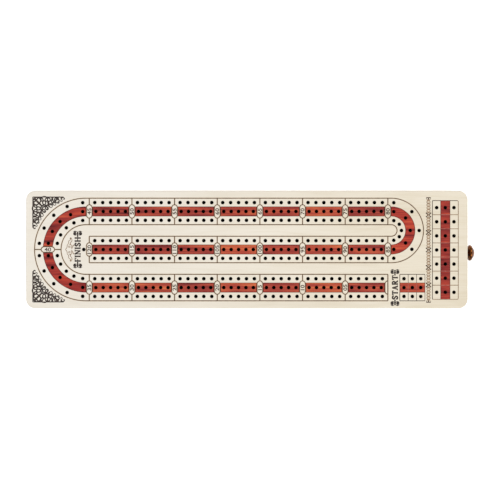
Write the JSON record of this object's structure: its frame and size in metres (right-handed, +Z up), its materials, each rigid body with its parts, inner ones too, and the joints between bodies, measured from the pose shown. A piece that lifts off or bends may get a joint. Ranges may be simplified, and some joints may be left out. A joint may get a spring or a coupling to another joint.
{
  "type": "cribbage board",
  "caption": "Cribbage board box: a long maple top with lanes of peg holes and bloodwood inlays, over a slim case with a full-length drawer that slides out of one end.",
  "frame": {"origin": "centre of the case's flat underside", "axes": "+X along the length towards the drawer's knob, +Y across towards the rear rail, +Z up out of the playing face"},
  "size_m": [0.3922, 0.1016, 0.0406],
  "materials": {
    "maple": "satin",
    "bloodwood": "satin",
    "birch_ply": "satin",
    "antique_brass": "polished",
    "brass": "polished",
    "copper": "polished",
    "steel": "polished"
  },
  "bodies": {
    "case": {"bottom_panel": "birch_ply", "bottom_screws": "brass", "end_block": "maple", "inlay_001_005": "bloodwood", "inlay_006_010": "bloodwood", "inlay_011_015": "bloodwood", "inlay_016_020": "bloodwood", "inlay_021_025": "bloodwood", "inlay_026_030": "bloodwood", "inlay_031_035": "bloodwood", "inlay_036_040": "bloodwood", "inlay_041_045": "bloodwood", "inlay_046_050": "bloodwood", "inlay_051_055": "bloodwood", "inlay_056_060": "bloodwood", "inlay_061_065": "bloodwood", "inlay_066_070": "bloodwood", "inlay_071_075": "bloodwood", "inlay_076_080": "bloodwood", "inlay_081_085": "bloodwood", "inlay_086_090": "bloodwood", "inlay_091_095": "bloodwood", "inlay_096_100": "bloodwood", "inlay_101_105": "bloodwood", "inlay_106_110": "bloodwood", "inlay_111_115": "bloodwood", "inlay_116_120": "bloodwood", "inlay_games": "bloodwood", "inlay_start": "bloodwood", "side_rail_front": "maple", "side_rail_rear": "maple", "top_board": "maple"},
    "drawer": {"drawer_back": "maple", "drawer_bottom": "birch_ply", "drawer_divider_1": "maple", "drawer_divider_2": "maple", "drawer_divider_3": "maple", "drawer_front": "maple", "drawer_knob": "antique_brass", "drawer_side_front": "maple", "drawer_side_rear": "maple", "knob_screw": "steel", "knob_washer": "steel", "peg_brass_1": "brass", "peg_brass_2": "brass", "peg_brass_3": "brass", "peg_copper_1": "copper", "peg_copper_2": "copper", "peg_copper_3": "copper", "peg_steel_1": "steel", "peg_steel_2": "steel", "peg_steel_3": "steel"}
  },
  "joints": [
    {"name": "drawer_slide", "type": "slide", "parent": "case", "child": "drawer", "axis": [1, 0, 0], "range_m": [0, 0.36]}
  ]
}
